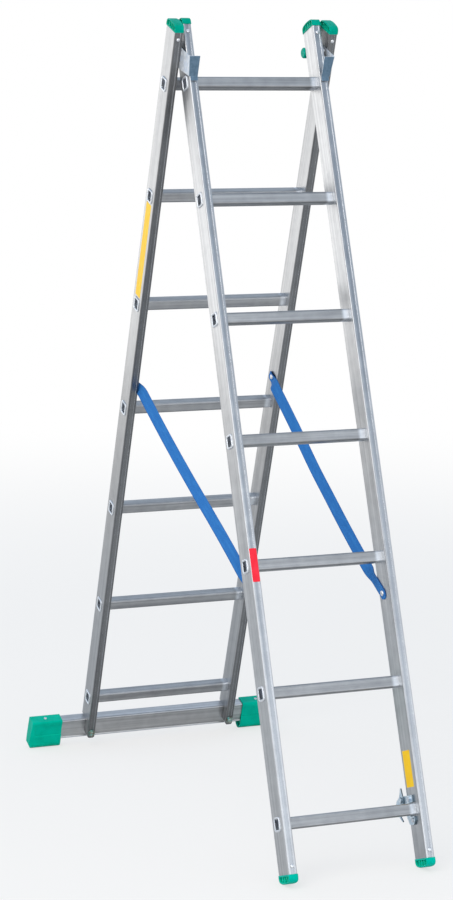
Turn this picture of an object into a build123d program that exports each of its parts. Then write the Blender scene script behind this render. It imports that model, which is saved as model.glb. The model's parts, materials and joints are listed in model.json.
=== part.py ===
"""Two-section aluminium combination ladder, standing open as an A-frame.

Millimetres, +Z up, front towards -Y. The wide rear section carries the stabiliser bar and the guide
brackets; the narrow front section stands between its stiles at the top.
"""

import os
from math import cos, radians, sin, tan

from build123d import *

# Driving sizes: the two sections
rung_count = 7
rung_pitch = 280.0
front_clear_width = 304.0
rear_clear_width = 364.0
front_lean = 19.4
rear_lean = 20.4
rung_1_gap = 61.0

# Stile extrusion
stile_width = 20.0
stile_depth = 60.0
stile_wall = 1.7
stile_corner = 2.5
groove_width = 8.0
groove_depth = 0.9
stile_above = 134.0
stile_below = 107.0

# Rung tube: a shoulder against the stile's inner wall, a neck through the stile and a swaged rim outside
rung_side = 26.0
rung_corner = 4.5
rung_neck_side = 25.0
rung_neck_corner = 4.0
rung_wall = 1.6
rung_rim_side = 32.0
rung_rim_corner = 7.0
rung_rim = 2.6
rung_flare = 1.3
fit_gap = 0.1
cut_past = 1.0

# Plastic end caps: the top caps and the front feet have one form, and the feet have a tread
cap_skirt = 6.4
cap_shoulder = 11.0
cap_crown_angle = 12.0
cap_overlap = 1.0
cap_edge = 1.2
cap_rim = 3.2
cap_recess_depth = 1.4
cap_pocket_depth = 4.5
cap_rib_count = 3
cap_rib_width = 2.6
cap_rib_pitch = 12.5
tread_count = 6
tread_width = 2.0
tread_depth = 1.2
tread_pitch = 8.5
plug_length = 32.0
plug_gap = 0.2
plug_wall = 2.2
cap_rivet_inset = 17.0

# Stabiliser bar in a notch at the foot of the rear stiles
bar_depth = 29.0
bar_height = 55.0
bar_corner = 4.0
bar_wall = 2.2
bar_length = 640.0
bar_offset = -15.0
bar_down = 92.5
bar_back = 10.0
bar_lip = 4.0
bar_lip_step = 1.4
bar_lip_slope = 2.5
tongue_end = 108.0
tongue_corner = 8.0
shoe_length = 84.0
shoe_wall = 3.0
shoe_foot_down = 128.0
shoe_end_wall = 15.0
shoe_end_draft = 4.0
shoe_end_corner = 8.0
shoe_band_step = 2.0
shoe_band_down = 11.0
shoe_band_height = 30.0

# Guide brackets of folded sheet steel near the top of the rear stiles
sheet = 2.0
web_top = 97.0
web_bottom = 48.5
web_lean_top = 1.0
web_lean_bottom = 6.0
web_bend_radius = 40.0
lip_front = 82.0
lip_inner = 154.0
lip_tail_bottom = 40.0
lip_tail_flare = 5.0
fold_radius = 4.0
web_rear_top = 26.0
web_rear_bottom = 24.0
lug_top = 73.0
bracket_rivet_y = -13.0
bracket_rivet_heights = [88.0, 66.0]
roller_radius = 12.5
roller_length = 27.0
roller_edge = 2.0
roller_up = 65.0
roller_back = 35.0
roller_inner = 150.0
roller_end_wall = 4.0
axle_radius = 4.0
axle_collar_radius = 5.0
axle_collar = 3.0
axle_end_clear = 0.4
axle_rivet_radius = 4.9
running_gap = 0.05

# Hooks and their gravity latches beside the lowest front rung
hook_thickness = 4.0
hook_corner = 1.8
hook_rung_gap = 2.0
hook_ear_front = -6.0
hook_ear_height = 16.0
hook_crown_back = 42.0
hook_bottom = -33.0
hook_bottom_slant = 8.0
jaw_width = 28.0
jaw_back = 48.0
jaw_top = 13.5
jaw_lead_in = -14.0
jaw_flare = 11.0
beak_root_width = 2.0
beak_root_up = 19.0
beak_width = 4.0
beak_bottom = -9.0
beak_slant = 3.0
latch_thickness = 3.0
latch_corner = 0.8
latch_gap = 0.5
latch_pivot_back = 46.0
latch_pivot_up = 23.0
latch_pin_radius = 3.5
latch_pin_head = 2.5
latch_boss = 8.0
thumb_height = 26.0
thumb_tip_back = -4.0
thumb_tip_width = 2.0
thumb_foot_front = -10.0
thumb_foot_up = 5.0
thumb_root_up = 7.0
finger_gap = 2.0
finger_top_width = 13.0
finger_width = 6.0
finger_elbow = -10.0
finger_end = -25.0
finger_end_width = 3.0

# Spreader straps of flat webbing
strap_width = 25.0
strap_thickness = 1.6
strap_clear = 0.3
strap_tail = 16.0
strap_lead = 20.0
strap_sag_left = 1.0
strap_sag_right = 20.0
strap_sag_skew = 0.3
strap_turn = 57.0
strap_turn_in = 120.0
strap_turn_out = 130.0
strap_free_stations = 12
rear_strap_down = 773.0
front_strap_down = 1201.0
front_strap_back = 8.0

# Fasteners
rivet_head_radius = 4.2
rivet_head = 1.7
rivet_radius = 2.0
rivet_taper = 25.0
large_rivet_head_radius = 6.5
large_rivet_head = 3.2
large_rivet_radius = 2.5
large_rivet_taper = 30.0
pin_head_taper = 20.0
bolt_radius = 4.0
bolt_across_flats = 13.0
bolt_head = 5.3
bolt_nut = 6.5
bolt_end_spare = 2.0
washer_radius = 9.0
washer_thickness = 1.6
screw_head_radius = 4.0
screw_head = 2.0
screw_end_spare = 4.0
hook_bolt_radius = 3.0
hook_bolt_across_flats = 10.0
hook_bolt_head = 4.0
hook_bolt_spread = 23.0
upper_hook_bolt_y = 9.0
lower_hook_bolt_y = 2.0

# Sizes worked out from those above
LEFT = -1
RIGHT = 1
half_depth = stile_depth / 2
rung_bore = rung_side - 2 * rung_wall
rung_hole = rung_neck_side + 2 * fit_gap
ladder_middle_x = -bar_offset
rung_heights = [-rung_pitch * k for k in range(rung_count)]
lowest_rung = rung_heights[-1]
front_bottom = lowest_rung - stile_below
rear_bottom = lowest_rung - tongue_end
front_inner = front_clear_width / 2
rear_inner = rear_clear_width / 2
front_outer = front_inner + stile_width
rear_outer = rear_inner + stile_width
cap_half_depth = half_depth + cap_overlap
cap_half_width = stile_width / 2 + cap_overlap
cap_shoulder_y = cap_half_depth - cap_shoulder
cap_dome = cap_skirt + cap_shoulder + cap_shoulder_y * tan(radians(cap_crown_angle / 2))
bar_z = lowest_rung - bar_down
bar_front_y = bar_back - bar_depth / 2
shoe_depth = bar_depth + 2 * shoe_wall
shoe_foot_radius = shoe_depth / 2
shoe_foot_z = lowest_rung - shoe_foot_down
shoe_top_z = bar_z + bar_height / 2 + shoe_wall
cap_rivet_z = stile_above - cap_rivet_inset
foot_rivet_z = front_bottom + cap_rivet_inset
bracket_rivets = [(bracket_rivet_y, z) for z in bracket_rivet_heights]
axle_end = roller_inner + roller_end_wall + axle_end_clear
hook_bolt_places = [
    (upper_hook_bolt_y, lowest_rung + hook_bolt_spread),
    (lower_hook_bolt_y, lowest_rung - hook_bolt_spread),
]
latch_pivot = (latch_pivot_back, lowest_rung + latch_pivot_up)
latch_outer = front_inner - hook_thickness - latch_gap
rear_strap_place = (0.0, -rear_strap_down)
front_strap_place = (front_strap_back, -front_strap_down)
shoe_outer_reach = bar_length / 2 + shoe_end_wall
shoe_inner_reach = shoe_outer_reach - shoe_length
bolt_places = [(side * (rear_inner + stile_width / 2), bar_z) for side in (LEFT, RIGHT)]
screw_places = [
    (bar_offset + side * (shoe_inner_reach + shoe_length / 2), bar_back) for side in (LEFT, RIGHT)
]

# Both sections stand on the floor: the feet touch it with their rear shoulders, the shoes with their round soles
front_foot_low = front_bottom - cap_skirt
front_foot_drop = cap_shoulder + cap_shoulder_y * sin(radians(front_lean))
front_rung_1_z = front_foot_drop - front_foot_low * cos(radians(front_lean))
rear_rung_1_z = shoe_foot_radius - shoe_foot_z * cos(radians(rear_lean)) - bar_back * sin(radians(rear_lean))

# The origin is midway between the front of the feet and the back of the shoes
front_reach = cap_shoulder + cap_shoulder_y * cos(radians(front_lean)) - front_foot_low * sin(radians(front_lean))
rear_reach = shoe_foot_radius + bar_back * cos(radians(rear_lean)) - shoe_foot_z * sin(radians(rear_lean))
front_rung_1_y = (front_reach - rear_reach - rung_1_gap) / 2

# Each section's own frame: origin in the middle of its top rung, x across, y to the back, z up the stiles
front_section = Plane(
    origin=(ladder_middle_x, front_rung_1_y, front_rung_1_z),
    x_dir=(1, 0, 0),
    z_dir=(0, sin(radians(front_lean)), cos(radians(front_lean))),
)
rear_section = Plane(
    origin=(ladder_middle_x, front_rung_1_y + rung_1_gap, rear_rung_1_z),
    x_dir=(1, 0, 0),
    z_dir=(0, -sin(radians(rear_lean)), cos(radians(rear_lean))),
)


def across(section, z):
    """Plane square to the stiles at height z, with sketch axes x and y of the section."""
    return section.offset(z)


def side_view(section, x):
    """Plane along the stiles at x, with sketch axes y and z of the section; its normal is +x."""
    return Plane(section.from_local_coords((x, 0, 0)), x_dir=section.y_dir, z_dir=section.x_dir)


def front_view(section, y):
    """Plane of the section at depth y, with sketch axes x and z of the section; its normal is forward."""
    return Plane(section.from_local_coords((0, y, 0)), x_dir=section.x_dir, z_dir=-section.y_dir)


def save(piece, name):
    """Labels a finished piece and writes it as its own node."""
    piece.part.label = name
    export_step(piece.part, f"parts/{name}.step")


def side_name(side):
    return "left" if side == LEFT else "right"


def stile(section, side, inner, bottom, front_holes, inner_holes):
    """Hollow stile with grooved narrow faces and square rung holes.

    front_holes are (z, radius) through the front wall, inner_holes are (y, z, radius) through the inner wall.
    """
    middle = side * (inner + stile_width / 2)
    with BuildPart() as piece:
        with BuildSketch(across(section, bottom)):
            with Locations((middle, 0)):
                RectangleRounded(stile_width, stile_depth, stile_corner)
            with Locations((middle, -half_depth), (middle, half_depth)):
                Rectangle(groove_width, 2 * groove_depth, mode=Mode.SUBTRACT)
            with Locations((middle, 0)):
                Rectangle(
                    stile_width - 2 * stile_wall,
                    stile_depth - 2 * (stile_wall + groove_depth),
                    mode=Mode.SUBTRACT,
                )
        extrude(amount=stile_above - bottom)
        with BuildSketch(side_view(section, middle)):
            with Locations(*[(0, z) for z in rung_heights]):
                RectangleRounded(rung_hole, rung_hole, rung_neck_corner)
        extrude(amount=stile_width, both=True, mode=Mode.SUBTRACT)
        for z, radius in front_holes:
            with BuildSketch(front_view(section, -stile_depth / 4)):
                with Locations((middle, z)):
                    Circle(radius + fit_gap)
            extrude(amount=stile_depth, mode=Mode.SUBTRACT)
        for y, z, radius in inner_holes:
            with BuildSketch(side_view(section, middle)):
                with Locations((y, z)):
                    Circle(radius + fit_gap)
            extrude(amount=-side * stile_width, mode=Mode.SUBTRACT)
    return piece


def notch_for_bar(piece, side):
    """Cuts the rear stile's foot away behind the bar's front face and rounds the tongue that is left."""
    middle = side * (rear_inner + stile_width / 2)
    notch_top = bar_z + bar_height / 2 + fit_gap
    with BuildPart() as notched:
        add(piece.part)
        with BuildSketch(side_view(rear_section, middle)):
            with Locations((bar_front_y - fit_gap, notch_top)):
                Rectangle(stile_depth, 2 * bar_height, align=(Align.MIN, Align.MAX))
        extrude(amount=stile_width, both=True, mode=Mode.SUBTRACT)
        with BuildSketch(front_view(rear_section, -half_depth - cut_past)):
            with Locations((middle, rear_bottom)):
                Rectangle(stile_width + 2 * cut_past, 2 * tongue_corner)
            with Locations((middle, rear_bottom)):
                RectangleRounded(
                    stile_width,
                    4 * tongue_corner,
                    tongue_corner,
                    align=(Align.CENTER, Align.MIN),
                    mode=Mode.SUBTRACT,
                )
        extrude(amount=-stile_depth, mode=Mode.SUBTRACT)
    return notched


def rung(section, inner, outer, z):
    """Square tube, shouldered between the stiles, whose two ends are swaged into rounded rims outside them."""
    with BuildPart() as piece:
        with BuildSketch(side_view(section, -inner)):
            with Locations((0, z)):
                RectangleRounded(rung_side, rung_side, rung_corner)
        extrude(amount=2 * inner)
        with BuildSketch(side_view(section, -outer)):
            with Locations((0, z)):
                RectangleRounded(rung_neck_side, rung_neck_side, rung_neck_corner)
        extrude(amount=2 * outer)
        for x in (-outer - rung_rim, outer):
            with BuildSketch(side_view(section, x)):
                with Locations((0, z)):
                    RectangleRounded(rung_rim_side, rung_rim_side, rung_rim_corner)
            extrude(amount=rung_rim)
        with BuildSketch(side_view(section, -outer - rung_rim)):
            with Locations((0, z)):
                RectangleRounded(rung_bore, rung_bore, rung_corner - rung_wall)
        extrude(amount=2 * (outer + rung_rim), mode=Mode.SUBTRACT)
        ends = piece.faces().sort_by(Axis.X)
        chamfer(ends[0].edges() + ends[-1].edges(), rung_flare)
    return piece


def cap_arch(end, way, inset):
    """Side face of a cap, drawn inset from its outside: a skirt, two shoulders and a shallow crown."""
    side_y = cap_half_depth - inset
    base_z = end + way * inset
    shoulder_z = end + way * cap_skirt
    top_z = end + way * (cap_dome - inset)
    radius = cap_shoulder - inset

    def shoulder(angle):
        turn = radians(angle)
        return cap_shoulder_y + radius * sin(turn), shoulder_z + way * radius * cos(turn)

    def mirrored(point):
        return -point[0], point[1]

    crown_end = shoulder(cap_crown_angle)
    middle = shoulder(45)
    with BuildSketch() as face:
        with BuildLine():
            Polyline((-side_y, shoulder_z), (-side_y, base_z), (side_y, base_z), (side_y, shoulder_z))
            ThreePointArc((side_y, shoulder_z), middle, crown_end)
            ThreePointArc(crown_end, (0, top_z), mirrored(crown_end))
            ThreePointArc(mirrored(crown_end), mirrored(middle), (-side_y, shoulder_z))
        make_face()
    return face.sketch


def end_cap(section, side, inner, end, way):
    """Round-shouldered plastic cap with a plug inside the stile; way is 1 at the top and -1 at the foot."""
    middle = side * (inner + stile_width / 2)
    with BuildPart() as piece:
        with BuildSketch(side_view(section, middle)):
            add(cap_arch(end, way, 0))
        extrude(amount=cap_half_width, both=True)
        domed = piece.edges().filter_by(GeomType.CIRCLE)
        chamfer(domed, cap_edge)
        # A recess inside a rim on both sides, with pockets between upright ribs
        for face_side in (LEFT, RIGHT):
            with BuildSketch(side_view(section, middle + face_side * cap_half_width)):
                add(cap_arch(end, way, cap_rim))
            extrude(amount=-face_side * cap_recess_depth, mode=Mode.SUBTRACT)
            with BuildSketch(side_view(section, middle + face_side * cap_half_width)):
                add(cap_arch(end, way, cap_rim))
                with Locations((0, end)):
                    with GridLocations(cap_rib_pitch, 0, cap_rib_count, 1):
                        Rectangle(cap_rib_width, 2 * cap_dome, mode=Mode.SUBTRACT)
            extrude(amount=-face_side * (cap_recess_depth + cap_pocket_depth), mode=Mode.SUBTRACT)
        # Cross grooves in the sole of a foot
        if way < 0:
            with BuildSketch(side_view(section, middle)):
                with Locations((0, end - cap_dome)):
                    with GridLocations(tread_pitch, 0, tread_count, 1):
                        Rectangle(tread_width, cap_dome)
                add(cap_arch(end, way, tread_depth), mode=Mode.SUBTRACT)
            extrude(amount=2 * cap_half_width, both=True, mode=Mode.SUBTRACT)
        # Hollow plug with the rivet's hole in its front wall
        plug_width = stile_width - 2 * (stile_wall + plug_gap)
        plug_depth = stile_depth - 2 * (stile_wall + groove_depth + plug_gap)
        with BuildSketch(across(section, end)):
            with Locations((middle, 0)):
                Rectangle(plug_width, plug_depth)
                Rectangle(plug_width - 2 * plug_wall, plug_depth - 2 * plug_wall, mode=Mode.SUBTRACT)
        extrude(amount=-way * plug_length)
        with BuildSketch(front_view(section, -stile_depth / 4)):
            with Locations((middle, end - way * cap_rivet_inset)):
                Circle(rivet_radius + fit_gap)
        extrude(amount=stile_depth, mode=Mode.SUBTRACT)
    return piece


def front_rivets(section, inner, heights):
    """Flat-coned rivets in the stiles' front walls, all in one group."""
    shank = groove_depth + stile_wall + plug_gap + plug_wall
    with BuildPart() as piece:
        for side in (LEFT, RIGHT):
            places = [(side * (inner + stile_width / 2), z) for z in heights]
            with BuildSketch(front_view(section, -half_depth)):
                with Locations(*places):
                    Circle(rivet_radius)
            extrude(amount=-shank)
            with BuildSketch(front_view(section, -half_depth)):
                with Locations(*places):
                    Circle(rivet_head_radius)
            extrude(amount=rivet_head, taper=rivet_taper)
    return piece


def inner_rivets(section, inner, places, under_head):
    """Large-headed rivets in the stiles' inner walls; under_head is the thickness that they clamp."""
    with BuildPart() as piece:
        for side in (LEFT, RIGHT):
            head_face = side * (inner - under_head)
            with BuildSketch(side_view(section, head_face)):
                with Locations(*places):
                    Circle(large_rivet_radius)
            extrude(amount=side * (under_head + stile_wall))
            with BuildSketch(side_view(section, head_face)):
                with Locations(*places):
                    Circle(large_rivet_head_radius)
            extrude(amount=-side * large_rivet_head, taper=large_rivet_taper)
    return piece


def guide_bracket(side):
    """Sheet-steel cage: a web on the stile's inner face, a lip folded across the front and a flared tail.

    In front of the stile the web leans in towards the bottom, so the lip is narrower there.
    """
    web_x = side * (rear_inner - sheet / 2)
    lip_y = -lip_front + sheet / 2
    web_rear = roller_back + roller_radius
    lug_bottom = roller_up - roller_radius
    lug_middle = roller_radius * cos(radians(45))
    tail_width = rear_inner - web_lean_bottom - fold_radius - lip_inner
    with BuildPart() as piece:
        for height, lean_in in ((web_bottom, web_lean_bottom), (web_top, web_lean_top)):
            fold_x = web_x - side * lean_in
            with BuildSketch(across(rear_section, height)):
                with BuildLine():
                    FilletPolyline(
                        (web_x, web_rear),
                        (web_x, -half_depth),
                        (fold_x, lip_y),
                        (side * lip_inner, lip_y),
                        radius=[web_bend_radius, fold_radius],
                    )
                trace(line_width=sheet)
        loft(ruled=True)
        # The web's outline from the side, with a rounded lug round the roller's axle
        with BuildSketch(side_view(rear_section, 0)):
            with BuildLine():
                Polyline(
                    (roller_back, lug_bottom),
                    (web_rear_bottom, web_bottom),
                    (-lip_front - cut_past, web_bottom),
                    (-lip_front - cut_past, web_top),
                    (web_rear_top, web_top),
                    (web_rear, lug_top),
                    (web_rear, roller_up),
                )
                ThreePointArc(
                    (web_rear, roller_up),
                    (roller_back + lug_middle, roller_up - lug_middle),
                    (roller_back, lug_bottom),
                )
            make_face()
        extrude(amount=side * rear_outer, mode=Mode.INTERSECT)
        # The tail below the lip, bent forward
        with BuildSketch(side_view(rear_section, side * lip_inner)):
            with BuildLine():
                Polyline(
                    (-lip_front, web_bottom + cut_past),
                    (-lip_front, web_bottom),
                    (-lip_front - lip_tail_flare, lip_tail_bottom),
                    (-lip_front - lip_tail_flare + sheet, lip_tail_bottom),
                    (-lip_front + sheet, web_bottom),
                    (-lip_front + sheet, web_bottom + cut_past),
                    close=True,
                )
            make_face()
        extrude(amount=side * tail_width)
        with BuildSketch(side_view(rear_section, web_x)):
            with Locations(*bracket_rivets):
                Circle(large_rivet_radius + fit_gap)
            with Locations((roller_back, roller_up)):
                Circle(axle_radius + fit_gap)
        extrude(amount=sheet, both=True, mode=Mode.SUBTRACT)
    return piece


def guide_roller(side):
    """Plastic roller with chamfered edges and a closed inner end, snapped over its axle's collar."""
    with BuildPart() as piece:
        with BuildSketch(side_view(rear_section, side * roller_inner)):
            with Locations((roller_back, roller_up)):
                Circle(roller_radius)
        extrude(amount=side * roller_length)
        chamfer(piece.edges().filter_by(GeomType.CIRCLE), roller_edge)
        with BuildSketch(side_view(rear_section, side * axle_end)):
            with Locations((roller_back, roller_up)):
                Circle(axle_radius + running_gap)
        extrude(amount=side * roller_length, mode=Mode.SUBTRACT)
        with BuildSketch(side_view(rear_section, side * (axle_end - axle_end_clear))):
            with Locations((roller_back, roller_up)):
                Circle(axle_collar_radius + running_gap)
        extrude(amount=side * (axle_collar + 2 * axle_end_clear), mode=Mode.SUBTRACT)
    return piece


def roller_axles():
    """Collared pins, riveted over behind the webs."""
    rivet_face = rear_inner + fit_gap
    with BuildPart() as piece:
        for side in (LEFT, RIGHT):
            with BuildSketch(side_view(rear_section, side * axle_end)):
                with Locations((roller_back, roller_up)):
                    Circle(axle_collar_radius)
            extrude(amount=side * axle_collar)
            with BuildSketch(side_view(rear_section, side * axle_end)):
                with Locations((roller_back, roller_up)):
                    Circle(axle_radius)
            extrude(amount=side * (rivet_face - axle_end))
            with BuildSketch(side_view(rear_section, side * rivet_face)):
                with Locations((roller_back, roller_up)):
                    Circle(axle_rivet_radius)
            extrude(amount=side * sheet, taper=pin_head_taper)
    return piece


def stabiliser_bar():
    """Rectangular tube whose front and back are sunk between a sloping lip along each long edge."""
    sunk_half = bar_height / 2 - bar_lip
    flat_half = sunk_half - bar_lip_slope
    with BuildPart() as piece:
        with BuildSketch(side_view(rear_section, bar_offset - bar_length / 2)):
            with Locations((bar_back, bar_z)):
                RectangleRounded(bar_depth, bar_height, bar_corner)
            for face in (-bar_depth / 2, bar_depth / 2):
                sunk = face * (1 - 2 * bar_lip_step / bar_depth)
                with BuildLine():
                    Polyline(
                        (bar_back + face, bar_z + sunk_half),
                        (bar_back + sunk, bar_z + flat_half),
                        (bar_back + sunk, bar_z - flat_half),
                        (bar_back + face, bar_z - sunk_half),
                        close=True,
                    )
                make_face(mode=Mode.SUBTRACT)
            with Locations((bar_back, bar_z)):
                Rectangle(
                    bar_depth - 2 * (bar_wall + bar_lip_step), bar_height - 2 * bar_wall, mode=Mode.SUBTRACT
                )
        extrude(amount=bar_length)
        with BuildSketch(front_view(rear_section, 0)):
            with Locations(*bolt_places):
                Circle(bolt_radius + fit_gap)
        extrude(amount=stile_depth, both=True, mode=Mode.SUBTRACT)
        with BuildSketch(across(rear_section, bar_z)):
            with Locations(*screw_places):
                Circle(rivet_radius + fit_gap)
        extrude(amount=bar_height, mode=Mode.SUBTRACT)
    return piece


def stabiliser_shoe(side):
    """Plastic sleeve on the bar's end, with a band sunk in front and back and a round hollow foot below."""
    inner_end = bar_offset + side * shoe_inner_reach
    outer_end = bar_offset + side * shoe_outer_reach
    front = bar_back - shoe_depth / 2
    back = bar_back + shoe_depth / 2
    foot_bottom = shoe_foot_z - shoe_foot_radius
    bar_bottom = bar_z - bar_height / 2
    round_in = shoe_foot_radius * (1 - cos(radians(45)))
    band_length = shoe_length - shoe_end_draft - shoe_end_corner
    with BuildPart() as piece:
        with BuildSketch(side_view(rear_section, inner_end)):
            with BuildLine():
                Polyline((front, shoe_foot_z), (front, shoe_top_z), (back, shoe_top_z), (back, shoe_foot_z))
                ThreePointArc((back, shoe_foot_z), (bar_back, foot_bottom), (front, shoe_foot_z))
            make_face()
        extrude(amount=side * shoe_length)
        fillet(piece.edges().filter_by(Axis.X).sort_by(Axis.Z)[-2:], bar_corner)
        # The outer end leans out towards the foot and turns under it in a quarter round
        with BuildSketch(front_view(rear_section, front - cut_past)):
            with BuildLine():
                Polyline(
                    (outer_end - side * shoe_foot_radius, foot_bottom),
                    (inner_end, foot_bottom),
                    (inner_end, shoe_top_z),
                    (outer_end - side * shoe_end_draft, shoe_top_z),
                    (outer_end, shoe_foot_z),
                )
                ThreePointArc(
                    (outer_end, shoe_foot_z),
                    (outer_end - side * round_in, foot_bottom + round_in),
                    (outer_end - side * shoe_foot_radius, foot_bottom),
                )
            make_face()
        extrude(amount=-shoe_depth - 2 * cut_past, mode=Mode.INTERSECT)
        # Seen from above the outer corners are round, and the band below the top ends where they begin
        with BuildSketch(across(rear_section, shoe_top_z + cut_past)):
            with Locations((inner_end, bar_back)):
                RectangleRounded(2 * shoe_length, shoe_depth, shoe_end_corner)
        extrude(amount=foot_bottom - shoe_top_z - 2 * cut_past, mode=Mode.INTERSECT)
        with BuildSketch(across(rear_section, shoe_top_z - shoe_band_down)):
            with Locations((inner_end, front), (inner_end, back)):
                Rectangle(2 * band_length, 2 * shoe_band_step)
        extrude(amount=-shoe_band_height, mode=Mode.SUBTRACT)
        # Socket for the bar and the hollow of the foot, both open at the inner end
        with BuildSketch(side_view(rear_section, inner_end)):
            with Locations((bar_back, bar_z)):
                RectangleRounded(bar_depth + 2 * fit_gap, bar_height + 2 * fit_gap, bar_corner)
        extrude(amount=side * (shoe_length - shoe_end_wall + fit_gap), mode=Mode.SUBTRACT)
        with BuildSketch(side_view(rear_section, inner_end)):
            with Locations((bar_back, shoe_foot_z)):
                Circle(shoe_foot_radius - shoe_wall)
            with Locations((bar_back, bar_bottom - shoe_wall)):
                Rectangle(shoe_depth, shoe_depth, align=(Align.CENTER, Align.MIN), mode=Mode.SUBTRACT)
        extrude(amount=side * (shoe_length - shoe_foot_radius - shoe_wall), mode=Mode.SUBTRACT)
        with BuildSketch(across(rear_section, bar_z)):
            with Locations(*screw_places):
                Circle(rivet_radius + fit_gap)
        extrude(amount=bar_height, mode=Mode.SUBTRACT)
    return piece


def hexagon(across_flats):
    """Hexagon of a bolt head or nut, by its width across flats."""
    return RegularPolygon(across_flats / 2, 6, major_radius=False)


def stabiliser_bolts():
    """Hex bolts through the tongues and the bar."""
    head_face = -half_depth - washer_thickness
    bolt_end = bar_back + bar_depth / 2 + bolt_nut + bolt_end_spare
    with BuildPart() as piece:
        with BuildSketch(front_view(rear_section, head_face)):
            with Locations(*bolt_places):
                Circle(bolt_radius)
        extrude(amount=head_face - bolt_end)
        with BuildSketch(front_view(rear_section, head_face)):
            with Locations(*bolt_places):
                hexagon(bolt_across_flats)
        extrude(amount=bolt_head)
    return piece


def stabiliser_washers():
    with BuildPart() as piece:
        with BuildSketch(front_view(rear_section, -half_depth)):
            with Locations(*bolt_places):
                Circle(washer_radius)
                Circle(bolt_radius + fit_gap, mode=Mode.SUBTRACT)
        extrude(amount=washer_thickness)
    return piece


def stabiliser_nuts():
    with BuildPart() as piece:
        with BuildSketch(front_view(rear_section, bar_back + bar_depth / 2 - bar_lip_step)):
            with Locations(*bolt_places):
                hexagon(bolt_across_flats)
                Circle(bolt_radius + running_gap, mode=Mode.SUBTRACT)
        extrude(amount=-bolt_nut)
    return piece


def shoe_screws():
    """Pan-head screws that hold the shoes on the bar."""
    with BuildPart() as piece:
        with BuildSketch(across(rear_section, shoe_top_z)):
            with Locations(*screw_places):
                Circle(screw_head_radius)
        extrude(amount=screw_head, taper=pin_head_taper)
        with BuildSketch(across(rear_section, shoe_top_z)):
            with Locations(*screw_places):
                Circle(rivet_radius)
        extrude(amount=-shoe_wall - bar_wall - screw_end_spare)
    return piece


def hook_plate_outline():
    """Plate round the back of the lowest rung: two bolt ears in front and a jaw that opens downwards."""
    jaw_front = jaw_back - jaw_width / 2
    jaw_rear = jaw_back + jaw_width / 2
    rung_clear = rung_side / 2 + hook_rung_gap
    ear_top = rung_clear + hook_ear_height
    return [
        (rung_clear, rung_clear),
        (hook_ear_front, rung_clear),
        (hook_ear_front, ear_top),
        (hook_crown_back, ear_top),
        (jaw_rear + beak_root_width, beak_root_up),
        (jaw_rear + beak_width, beak_bottom + beak_slant),
        (jaw_rear, beak_bottom),
        (jaw_rear, jaw_top),
        (jaw_front, jaw_top),
        (jaw_front, jaw_lead_in),
        (jaw_front - jaw_flare, hook_bottom),
        (hook_ear_front + hook_bottom_slant, hook_bottom),
        (hook_ear_front, hook_bottom + hook_bottom_slant),
        (hook_ear_front, -rung_clear),
        (rung_clear, -rung_clear),
    ]


def hook_plate(side):
    with BuildPart() as piece:
        with BuildSketch(side_view(front_section, side * (front_inner - hook_thickness))):
            with BuildLine():
                FilletPolyline(
                    *[(y, lowest_rung + z) for y, z in hook_plate_outline()], radius=hook_corner, close=True
                )
            make_face()
            with Locations(*hook_bolt_places):
                Circle(hook_bolt_radius + fit_gap, mode=Mode.SUBTRACT)
            with Locations(latch_pivot):
                Circle(latch_pin_radius + fit_gap, mode=Mode.SUBTRACT)
        extrude(amount=side * hook_thickness)
    return piece


def hook_latch(side):
    """Gravity latch: a pointed thumb piece above its pivot and a finger that closes the jaw from behind."""
    finger_front = jaw_back + jaw_width / 2 + finger_gap
    boss_front = latch_pivot_back - latch_boss
    boss_bottom = latch_pivot_up - latch_boss
    thumb_tip = latch_pivot_back + thumb_tip_back
    outline = [
        (latch_pivot_back + thumb_foot_front, latch_pivot_up + thumb_foot_up),
        (thumb_tip - thumb_tip_width / 2, latch_pivot_up + thumb_height),
        (thumb_tip + thumb_tip_width / 2, latch_pivot_up + thumb_height),
        (latch_pivot_back + latch_boss, latch_pivot_up + thumb_root_up),
        (finger_front + finger_width, latch_pivot_up),
        (finger_front + finger_top_width, boss_bottom),
        (finger_front + finger_width, finger_elbow),
        (jaw_back + finger_end_width, finger_end),
        (jaw_back + finger_end_width, finger_end + finger_end_width),
        (finger_front, finger_elbow + finger_end_width),
        (finger_front, boss_bottom - finger_end_width),
        (latch_pivot_back + latch_boss, boss_bottom),
        (boss_front, boss_bottom),
    ]
    with BuildPart() as piece:
        with BuildSketch(side_view(front_section, side * latch_outer)):
            with BuildLine():
                FilletPolyline(*[(y, lowest_rung + z) for y, z in outline], radius=latch_corner, close=True)
            make_face()
            with Locations(latch_pivot):
                Circle(latch_pin_radius + running_gap, mode=Mode.SUBTRACT)
        extrude(amount=-side * latch_thickness)
    return piece


def latch_pins():
    head_face = latch_outer - latch_thickness - latch_gap / 2
    with BuildPart() as piece:
        for side in (LEFT, RIGHT):
            with BuildSketch(side_view(front_section, side * head_face)):
                with Locations(latch_pivot):
                    Circle(latch_pin_radius)
            extrude(amount=side * (front_inner - head_face))
            with BuildSketch(side_view(front_section, side * head_face)):
                with Locations(latch_pivot):
                    Circle(2 * latch_pin_radius)
            extrude(amount=-side * latch_pin_head, taper=pin_head_taper)
    return piece


def hook_bolts():
    with BuildPart() as piece:
        for side in (LEFT, RIGHT):
            head_face = side * (front_inner - hook_thickness)
            with BuildSketch(side_view(front_section, head_face)):
                with Locations(*hook_bolt_places):
                    Circle(hook_bolt_radius)
            extrude(amount=side * (hook_thickness + stile_wall + screw_end_spare))
            with BuildSketch(side_view(front_section, head_face)):
                with Locations(*hook_bolt_places):
                    hexagon(hook_bolt_across_flats)
            extrude(amount=-side * hook_bolt_head)
    return piece


def ease(value):
    """Smooth step from 0 to 1."""
    share = min(max(value, 0.0), 1.0)
    return share * share * (3 - 2 * share)


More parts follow.
